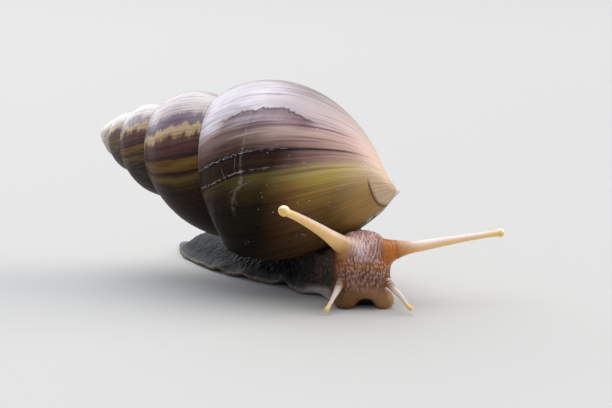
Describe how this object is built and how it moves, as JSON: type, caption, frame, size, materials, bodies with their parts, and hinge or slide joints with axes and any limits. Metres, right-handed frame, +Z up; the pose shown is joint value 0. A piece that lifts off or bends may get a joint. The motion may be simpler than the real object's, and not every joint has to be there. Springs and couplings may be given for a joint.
{
  "type": "giant African land snail",
  "caption": "Life-size still model of a crawling giant African land snail, shell slanting over a long flat foot, head turned aside with its feelers out.",
  "frame": {"origin": "middle of the object's bounding box at floor level, where the sole lies", "axes": "+Z up; -Y the way the snail crawls, tail towards +Y; -X the animal's right, the side its head turns to"},
  "size_m": [0.0548, 0.0876, 0.0432],
  "materials": {
    "shell": "satin-gloss brown shell with streaks",
    "mantle_skin": "wet, smooth grey-brown flesh",
    "foot_skin": "wet, pebbled dark grey skin",
    "head_skin": "wet, wrinkled amber-brown skin",
    "feeler_skin": "wet, translucent amber skin",
    "eye": "glossy pale amber"
  },
  "bodies": {
    "root": {"shell": "shell", "mantle_collar": "mantle_skin", "foot_tail": "foot_skin", "foot_middle": "foot_skin", "foot_front": "foot_skin", "neck": "head_skin", "head": "head_skin", "lip_lobe_right": "head_skin", "lip_lobe_left": "head_skin", "upper_feeler_right": "feeler_skin", "upper_feeler_left": "feeler_skin", "lower_feeler_right": "feeler_skin", "lower_feeler_left": "feeler_skin", "eye_right": "eye", "eye_left": "eye"}
  },
  "joints": []
}
